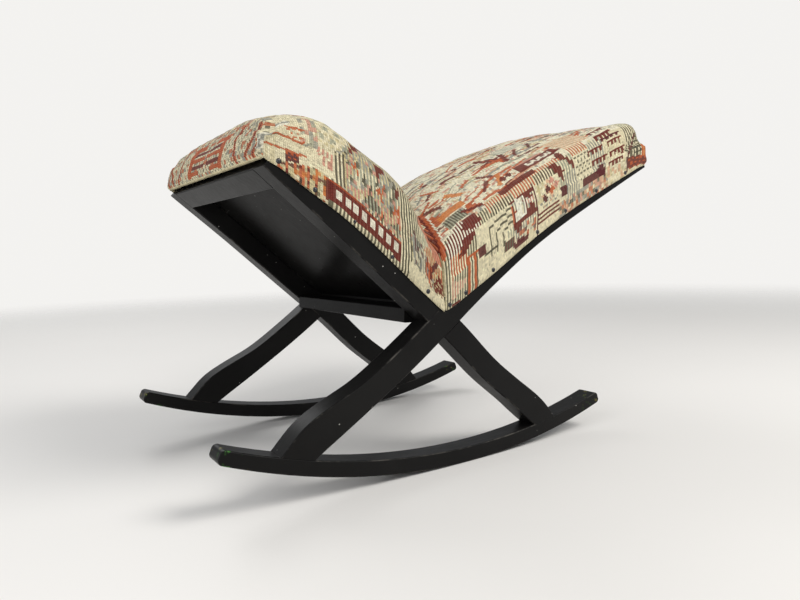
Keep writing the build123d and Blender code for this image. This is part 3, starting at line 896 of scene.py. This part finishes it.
class Weave:
    """The yarn colour at each crossing of a cover, painted in millimetres along and across the cloth."""

    def __init__(self, piece, seed, end):
        mesh = piece.data
        flat = np.empty(len(mesh.loops) * 2)
        mesh.uv_layers["cloth"].data.foreach_get("uv", flat)
        flat = 1000 * flat.reshape(-1, 4, 2).mean(axis=1)
        self.piece = piece
        self.chance = np.random.default_rng(seed)
        far_side = smooth_step(flat[:, 1], 0, 60) * smooth_step(end - flat[:, 0], 0, 80)
        self.along = flat[:, 0] - far_shift * far_side
        self.out = np.abs(flat[:, 1])
        self.figure = np.floor(flat[:, 0] / pick_width) % 2 == 1
        self.colour = np.tile(yarns["cream"], (len(flat), 1))
        self.tint("straw", self.figure, 0.45)

    def tint(self, yarn, where, share=1.0):
        """Lay a yarn over the crossings of a mask."""
        self.colour[where] += share * (np.array(yarns[yarn]) - self.colour[where])

    def within(self, low, high, inner, outer):
        """Crossings from low to high along the cloth, and from inner to outer across it."""
        return (self.along >= low) & (self.along < high) & (self.out >= inner) & (self.out < outer)

    def shape(self, corners):
        """Crossings inside an outline of (along, out) corners, in steps of two picks as on a loom."""
        along = float_length * np.floor(self.along / float_length) + pick_width
        out = outline_step * np.floor(self.out / outline_step) + outline_step / 2
        inside = np.zeros(len(along), bool)
        for (a0, o0), (a1, o1) in zip(corners, corners[1:] + corners[:1]):
            if o0 != o1:
                crosses = (out < o0) != (out < o1)
                inside ^= crosses & (along < a0 + (out - o0) * (a1 - a0) / (o1 - o0))
        return inside

    def lay(self, *motifs):
        """Blocks in one yarn, or stripes in figure/ground, in an outline or in low, high, inner, outer."""
        for colours, *limits in motifs:
            where = self.shape(limits) if isinstance(limits[0], tuple) else self.within(*limits)
            yarn, _, ground = colours.partition("/")
            if ground:
                self.tint(yarn, where & self.figure, 0.92)
                self.tint(ground, where & ~self.figure, 0.92)
            else:
                self.tint(yarn, where, 0.95)

    def bar(self, yarn, start, end, width):
        """A slanting bar between two places."""
        (a0, o0), (a1, o1) = start, end
        run = math.hypot(a1 - a0, o1 - o0)
        ways = ((a1 - a0) / run, (o1 - o0) / run)
        forth = (self.along - a0) * ways[0] + (self.out - o0) * ways[1]
        aside = (self.along - a0) * ways[1] - (self.out - o0) * ways[0]
        self.tint(yarn, (forth >= 0) & (forth < run) & (np.abs(aside) < width / 2), 0.92)

    def diamond(self, yarn, along, out, reach):
        """A small lozenge."""
        self.tint(yarn, np.abs(self.along - along) + np.abs(self.out - out) < reach, 0.95)

    def dashes(self, yarn, low, high, inner, outer, pitch=9.0, row=6.0):
        """Rows of short floats, each row set half a step on from the last."""
        rank = np.floor((self.out - inner) / row)
        place = (self.along - low + rank % 2 * pitch / 2) % pitch
        float_over = (place < pitch * 0.5) & ((self.out - inner) % row < row * 0.5)
        self.tint(yarn, self.within(low, high, inner, outer) & float_over, 0.85)

    def comb(self, yarn, low, high, out, tooth=9.0, teeth=4):
        """A spine across the picks with teeth hanging from it."""
        self.lay((yarn, low, high, out, out + 3.5))
        pitch = (high - low) / teeth
        on_tooth = (self.along - low) % pitch < pitch * 0.55
        self.tint(yarn, self.within(low, high, out, out + tooth) & on_tooth, 0.95)

    def speckle(self, names, share, low, high, inner, outer):
        """Scattered crossings of several yarns, in clumps of a few floats."""
        where = np.nonzero(self.within(low, high, inner, outer))[0]
        along = np.floor(self.along[where] / float_length)
        out = np.floor(self.out[where] / clump_width)
        clump = (along * 7919 + out * 104729).astype(int)
        draw = self.chance.random(4096)[clump % 4096]
        for number, name in enumerate(names):
            chosen = (draw >= share * number) & (draw < share * (number + 1))
            picked = np.zeros(len(self.along), bool)
            picked[where[chosen]] = True
            self.tint(name, picked, 0.8)

    def finish(self):
        """Give every float its own shade and store the colours on the mesh."""
        count = len(self.colour)
        shade = 1 + 0.09 * self.chance.standard_normal(count)
        shade -= np.where(self.chance.random(count) < 0.2, 0.2, 0) * (self.colour[:, 1] > 0.3)
        colour = np.clip(self.colour * np.clip(shade, 0.5, 1.25)[:, None], 0, 0.9)
        four = np.ones((count, 4, 4))
        four[:, :, :3] = colour[:, None, :]
        layer = self.piece.data.color_attributes.new("yarn", "FLOAT_COLOR", "CORNER")
        layer.data.foreach_set("color", four.ravel())


# the long rest's top: broken bands and slanting bars on a bleached ground
weave = Weave(long_rest, 11, end_of_long)
weave.tint("bleached", weave.within(-80, end_of_long, 0, shoulder_out), 0.55)
weave.speckle(("straw", "peach", "pink", "grey"), 0.045, -80, end_of_long, 0, shoulder_out)
streak_yarns = ("rust", "grey", "maroon", "peach", "straw", "rust", "sage", "pink")
for number in range(150):
    low, out = weave.chance.uniform(-20, 340), weave.chance.uniform(4, 152)
    run, drift = weave.chance.uniform(14, 66), weave.chance.uniform(-16, 5)
    weave.bar(streak_yarns[number % 8], (low, out), (low + run, out + drift), 2.4 + number % 3)
for low, high, inner, yarn in ((92, 122, 57, "maroon"), (128, 160, 58, "maroon"), (130, 202, 83, "rust"),
                               (64, 98, 27, "sage"), (150, 186, 30, "rust"), (196, 236, 55, "sage"),
                               (222, 262, 108, "peach"), (240, 292, 118, "rust"), (168, 218, 2, "maroon"),
                               (40, 92, 8, "grey"), (250, 300, 38, "maroon"), (292, 340, 96, "grey")):
    weave.lay((yarn, low, high, inner, inner + 5),
              ("straw/bleached", low + 4, high - 6, inner + 7, inner + 12))
weave.lay(("maroon", (160, 52), (172, 48), (190, 82), (200, 62), (206, 70), (188, 104), (182, 100)),
          ("rust", (172, 60), (184, 84), (194, 74), (184, 96), (178, 92)))
for start, end, width, yarn in (((108, 137), (129, 117), 6, "maroon"), ((127, 96), (141, 116), 6, "maroon"),
                                ((206, 95), (223, 75), 5, "maroon"), ((236, 95), (251, 74), 5, "plum"),
                                ((70, 92), (87, 113), 8, "orange"), ((134, 141), (150, 118), 7, "orange"),
                                ((96, 100), (118, 90), 5, "rust"), ((262, 64), (276, 90), 8, "grey"),
                                ((60, 52), (78, 74), 5, "rust"), ((292, 70), (312, 88), 6, "maroon")):
    weave.bar(yarn, start, end, width)
weave.lay(("maroon", 172, 242, 126, 143), ("bleached", 190, 234, 130.5, 138.5))
weave.dashes("maroon", 194, 232, 131, 139, 12, 6)
for along, out in ((146, 134), (158, 133), (281, 135), (88, 29), (139, 36), (262, 136), (232, 150)):
    weave.diamond("maroon", along, out, 6)
weave.lay(("sage/bleached", 205, 250, 40, 72), ("peach/cream", 248, 296, 106, 150))
weave.dashes("grey", 296, 372, 20, 150, 13.5, 8)

# near the valley: a rust triangle with a maroon edge, and a hatched one beside it
weave.lay(("rust", (16, 96), (44, 130), (8, 133)))
weave.bar("maroon", (22, 92), (52, 108), 7)
weave.lay(("orange", 30, 76, 122, 132), ("olive/sage", 26, 62, 134, 152),
          ("rust", (60, 150), (76, 133), (92, 152)))
weave.bar("maroon", (58, 142), (92, 152), 5)

# over the shoulder and down the side: stripes all along
weave.lay(("maroon/rust", -40, 8, 40, 160),
          ("olive/cream", 0, 128, shoulder_out, far_out),
          ("rust/cream", 92, 232, 152, 172),
          ("olive/cream", 96, 134, 162, 178),
          ("olive/cream", 178, 236, 160, 174),
          ("maroon", 122, 186, 149, 157),
          ("maroon/bleached", (6, 166), (36, 154), (74, 158), (72, 178), (48, 186), (10, 196)),
          ("maroon", (44, 158), (72, 156), (76, 170), (56, 174), (42, 168)),
          ("rust/cream", 12, 40, 184, 208),
          ("maroon", (40, 176), (62, 178), (38, 196), (26, 192)),
          ("pink/cream", (8, 210), (38, 222), (12, 236)),
          ("maroon", 2, 26, 238, 246),
          ("cream", 58, 118, 178, far_out),
          ("rust", 40, 44.5, 203, far_out),
          ("rust", 51.5, 56, 203, far_out),
          ("rust", 40, 62, 199, 203),
          ("plum", 60, 74, 200, 213),
          ("olive", 72, 100, 212, 214.5))

# stepped lines that turn up the slope, and the dark blocks on the hem under them
weave.lay(("cream", 96, 127, 176, far_out))
for along, turn, slope_end in ((84, 187, 180), (96, 196, 187), (107, 204, 194)):
    weave.bar("olive", (along, 222), (along, turn), 2.5)
    weave.bar("olive", (along, turn), (129, slope_end), 2.6)
weave.lay(("plum/olive", 107, 127, 216, 228), ("sage/cream", 112, 127, 204, 214),
          ("plum", 127, 150, 222, 231))

# upright band of hourglasses and triangles with its border line
weave.lay(("grey/cream", 126, 170, 172, 222),
          ("maroon", 126, 170, 172, 177),
          ("maroon/rust", (126, 177), (135, 190), (126, 208)),
          ("bleached", (137, 174), (141, 174), (147, 200), (130, 200)),
          ("maroon", 127, 168, 200, 206),
          ("maroon", (127, 206), (140, 206), (131, 218)),
          ("maroon/bleached", (146, 180), (152, 178), (153, 200), (148, 200)),
          ("maroon", (154, 177), (169, 180), (160, 192)),
          ("maroon", (152, 200), (161, 188), (169, 200)),
          ("pink/bleached", 154, 167, 184, 190))
weave.speckle(("rust", "cream", "plum"), 0.12, 128, 168, 208, 228)

# cream field with lozenges over three maroon lines
weave.lay(("plum", 168, 171.5, 168, far_out), ("cream", 171.5, 222, 174, far_out))
weave.speckle(("peach", "straw"), 0.12, 171.5, 220, 174, 208)
for along, out, yarn in ((193, 188, "plum"), (186, 197, "plum"), (203, 180, "pink"), (201, 192, "rust"),
                         (210, 187, "pink"), (178, 182, "straw")):
    weave.diamond(yarn, along, out, 5.5)
weave.dashes("grey", 176, 212, 200, 209, 6, 5)
for inner in (209, 214.5, 220):
    weave.lay(("maroon", 171.5, 211, inner, inner + 2.6))

# two arrow heads over the shoulder, and the sage stripes between them
weave.lay(("sage/cream", 216, 252, 160, 208),
          ("maroon", (206, 160), (218, 160), (228, 176), (221, 194), (217, 180)),
          ("maroon", (222, 150), (236, 154), (250, 178), (244, 184), (240, 170)),
          ("plum", 216, 227, 195, 209),
          ("grey/cream", 228, 252, 184, 224),
          ("rust/cream", 250, 280, 150, 166))

# rows of floats, then combs over the shoulder to the end
weave.lay(("cream", 250, 280, 168, 206))
weave.dashes("olive", 250, 280, 170, 206, 6.75, 6)
weave.lay(("grey/cream", 278, 308, 160, 204), ("cream", 306, 350, 198, far_out))
for out, low in ((140, 302), (156, 300), (172, 276), (172, 314), (187, 282), (187, 318), (200, 312)):
    weave.comb("maroon", low, low + 30, out)
weave.comb("plum", 306, 344, 164, 6)
weave.lay(("plum", 258, 304, 205, 213),
          ("plum", (284, 205), (296, 196), (306, 205), (306, 216), (296, 213)))
weave.speckle(("peach", "grey", "rust", "pink", "olive"), 0.15, 212, 310, 215, far_out)
weave.speckle(("peach", "straw"), 0.2, 306, 350, 205, far_out)
weave.lay(("olive/cream", 350, end_of_long + 30, 120, 206), ("sage/cream", 350, 372, 120, 160))
for out in (176, 183, 190, 197):
    weave.bar("olive", (366, out + 4), (end_of_long + 12, out - 2), 2.6)
for start, end in (((377, 172), (366, 186)), ((366, 186), (352, 206)), ((352, 206), (351, 226))):
    weave.bar("plum", start, end, 3)
weave.lay(("maroon", 354, end_of_long + 30, 206, 222), ("rust/orange", 384, end_of_long + 30, 188, 208))
weave.dashes("rust", 354, end_of_long + 20, 208, 222, 9, 6)

# the end that faces away: bands across it
weave.lay(("olive/cream", end_of_long, 398, 0, 150), ("cream", 398, 424, 0, 150))
weave.dashes("maroon", 399, 424, 0, 150, 9, 9)
weave.lay(("maroon", 424, 440, 0, 150))
for out in range(9, 150, 18):
    weave.diamond("bleached", 432, out, 6)
weave.lay(("rust/cream", 442, 500, 0, 168))

# the selvedge along the valley, with its pale edge
weave.bar("rust", (25, 90), (1, 176), 8)
weave.bar("maroon", (22, 90), (-3, 176), 3)
weave.bar("bleached", (27, 102), (9, 162), 2.4)
weave.finish()

# the short rest's top, which slopes away: bands along it between bars
weave = Weave(short_rest, 23, end_of_short)
weave.tint("bleached", weave.within(-100, end_of_short, 0, shoulder_out), 0.2)
weave.speckle(("straw", "sage", "peach", "grey"), 0.08, -100, end_of_short, 0, shoulder_out)
for inner, yarn in ((8, "maroon"), (34, "rust"), (58, "plum"),
                    (86, "sage"), (110, "maroon"), (134, "rust")):
    for low in (14, 72, 134, 190):
        weave.lay((yarn, low, low + 34, inner, inner + 6))
        weave.diamond("maroon", low + 46, inner + 3, 7)
        weave.bar("rust", (low + 4, inner + 18), (low + 26, inner + 10), 4)
weave.lay(("olive/cream", 60, 110, 14, 30), ("rust/cream", 150, 196, 62, 82))

# the slope's near side: hatching in sage and pink, with dark floats
weave.tint("cream", weave.within(-10, end_of_short, shoulder_out - 10, far_out), 1)
weave.lay(("grey/straw", 60, 178, 150, 230),
          ("pink/straw", (66, 196), (120, 206), (176, 184), (170, 216), (86, 226)),
          ("sage/cream", (72, 176), (150, 184), (170, 214), (126, 196), (74, 192)))
weave.speckle(("olive", "grey", "pink"), 0.11, 60, 178, 164, 226)
for number in range(26):
    low, out = weave.chance.uniform(66, 172), weave.chance.uniform(166, 224)
    weave.bar(("olive", "rust", "cream")[number % 3], (low, out), (low + 3, out + 11), 2.4)
weave.lay(("olive/cream", 168, 182, 184, 216),
          ("olive/sage", (120, 214), (134, 204), (146, 214), (134, 220)),
          ("olive/sage", (88, 220), (98, 212), (108, 220), (98, 224)),
          ("cream", (150, 140), (204, 140), (206, 188), (176, 184), (164, 172)))
weave.dashes("straw", 150, 206, 136, 188, 6.75, 5)
weave.dashes("sage", 164, 196, 152, 180, 13.5, 11)
weave.lay(("pink/cream", 182, 202, 190, 206))

# triangles in a row along the shoulder, each with a short tail
for along, out in ((141, 159), (109, 167), (80, 171)):
    weave.lay(("maroon", (along, out - 2), (along + 15, out - 1), (along + 20, out + 18)))
    weave.bar("rust", (along + 14, out + 22), (along + 10, out + 36), 2.6)
    weave.diamond("rust", along + 16, out + 28, 3)

# the maroon band with its cream squares, parallel to the hem
band_start, band_end, band_margin, band_drop = 92, 190, 5, 0.13
down_band = weave.out + band_drop * (weave.along - band_start)
on_band = (weave.along >= band_start) & (weave.along < band_end)
under_band = (weave.along >= 74) & (weave.along < 200) & (down_band >= 228)
weave.tint("cream", under_band & ~weave.figure, 0.95)
weave.tint("olive", under_band & weave.figure, 0.9)
weave.tint("maroon", on_band & (down_band >= 229) & (down_band < 250), 0.96)
square_pitch = (band_end - band_start - 2 * band_margin) / 8
into_square = (weave.along - band_start - band_margin) % square_pitch
squares = (weave.along > band_start + band_margin) & (weave.along < band_end - band_margin)
squares &= into_square < 0.62 * square_pitch
weave.tint("bleached", squares & (down_band >= 234.5) & (down_band < 243.5), 0.86)
weave.tint("rust", on_band & (down_band >= 229) & (down_band < 231), 0.6)

# the valley corner: rust hatch, upright blocks, a dark wedge and the plain corner under them
weave.lay(("rust/pink", -8, 60, 150, 186),
          ("sage/cream", 22, 78, 182, 206),
          ("olive/cream", 56, 92, 170, 204),
          ("rust/straw", (-6, 190), (30, 184), (52, 206), (30, 232), (0, 226)))
weave.bar("plum", (10, 186), (34, 216), 5)
weave.lay(("maroon/rust", 26, 34, 203, 240),
          ("plum/rust", 36, 44, 203, 240),
          ("grey/cream", 46, 54, 203, 240),
          ("olive/grey", 54, 62, 203, 240),
          ("plum/grey", 62, 70, 203, 240))
weave.speckle(("plum", "grey", "cream"), 0.14, 8, 70, 200, 240)
weave.lay(("maroon", (-4, 206), (12, 200), (26, 222), (14, 236), (-4, 228)))
weave.dashes("straw", -4, 26, 204, 230, 6, 5)
weave.lay(("olive/cream", 74, band_start, 196, far_out),
          ("cream", (-4, 219), (76, 238), (78, 270), (-4, 270)))

# the end corner: rust lines with ticks, a small block and blotches
weave.lay(("cream", 200, end_of_short, 150, 215))
weave.speckle(("grey", "pink", "sage"), 0.22, 198, 216, 158, 192)
for out in (172, 187, 201):
    weave.bar("rust", (212, out + 3), (end_of_short + 16, out - 6), 2.3)
weave.dashes("rust", 214, 232, 174, 186, 6.75, 5)
weave.lay(("plum", 220, 234, 202, 212))
weave.dashes("rust", 220, 234, 202, 212, 6, 5)
weave.lay(("rust/straw", 190, end_of_short, 213, far_out))
weave.dashes("plum", 190, end_of_short, 214, 236, 9, 7)
weave.speckle(("olive", "orange", "cream"), 0.10, 190, end_of_short, 212, far_out)

# the end face: rows of floats between stepped blocks
weave.lay(("cream", end_of_short + 8, 340, 0, 163))
weave.dashes("olive", end_of_short, 340, 0, 163, 6.75, 4.5)
weave.speckle(("cream", "grey", "rust"), 0.16, end_of_short, 340, 0, 163)
weave.lay(("rust", 253, 258, 18, 60), ("maroon", 261, 266, 2, 60), ("rust", 268, 273, 2, 56),
          ("maroon", 276, 281, 4, 56), ("rust", 284, 289, 20, 52), ("rust", 253, 290, 48, 60),
          ("rust", 300, 305, 0, 30), ("plum", 300, 306, 60, 84))
for start, end, width in (((250, 98), (268, 92), 7), ((268, 92), (300, 106), 6),
                          ((300, 106), (318, 112), 7), ((250, 150), (268, 146), 9),
                          ((268, 146), (290, 126), 6), ((276, 158), (300, 136), 6),
                          ((290, 126), (316, 140), 5), ((310, 70), (326, 82), 5)):
    weave.bar("rust", start, end, width)
    weave.bar("maroon", start, end, width / 3)

# painted light along the corner's fold: a pale band as painted highlight, with a grey line down its middle
# as painted shade in the crease
for start, end in (((284, 157), (262, 162)), ((246, 173), (226, 162))):
    weave.bar("bleached", start, end, 7)
    weave.bar("grey", start, end, 2.4)
weave.finish()

# ---- Cloth of the covers -----------------------------------------------------------------------------
# Heavy wool rep: rounded ribs a pick wide, crossed by the twist of each yarn, with fuzz on the crowns,
# painted shade in the hollows between ribs and threads, and patches of grime of an old cover.
woven = Finish("woven_cover", yarns["cream"], Roughness=0.92, Specular_IOR_Level=0.2, Sheen_Weight=0.04,
               Sheen_Roughness=0.5)
flat_place = woven.add("UVMap", {"uv_map": "cloth"}, {})
along_cloth, across_cloth, _ = woven.axes(flat_place)
yarn_colour = woven.add("Attribute", {"attribute_name": "yarn"}, {}, 0)
pick_turn = math.pi / pick
rib = abs((along_cloth * pick_turn).sine())
thread = abs((across_cloth * (pick_turn * 1.25) + along_cloth * (pick_turn * 0.5)).sine())
fuzz = woven.cloud(woven.place(), 1500.0, 2.0, 0.7)
grime = woven.cloud(woven.place(), 14.0, 4.0, 0.6)
# painted shade: the colour is darkened in the hollows between the ribs and threads, besides the fuzz and
# the grime patches
hollow_shade = 1 - (rib ** 0.6) * (thread * 0.5 + 0.5)
dark = hollow_shade * 0.22 + (fuzz - 0.5) * 0.4 + grime.rises(0.55, 0.8) * 0.10
cloth_colour = woven.mix(dark, yarn_colour, (0.20, 0.17, 0.11), "MULTIPLY")
cloth_relief = woven.bump(rib * (thread * 0.45 + 0.55), 0.0011, 0.8)
cloth_relief = woven.bump(fuzz, 0.0003, 0.6, cloth_relief)
cover_cloth = woven.wire(Base_Color=cloth_colour, Roughness=fuzz * 0.12 + 0.84, Normal=cloth_relief)
for piece, length in ((long_rest, "long"), (short_rest, "short")):
    dress(piece, cover_cloth)
    for polygon in piece.data.polygons:
        polygon.use_smooth = True
    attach(piece, "root")
    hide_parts(length + "_cover", length + "_pad_wadding", length + "_pad_stuffing")
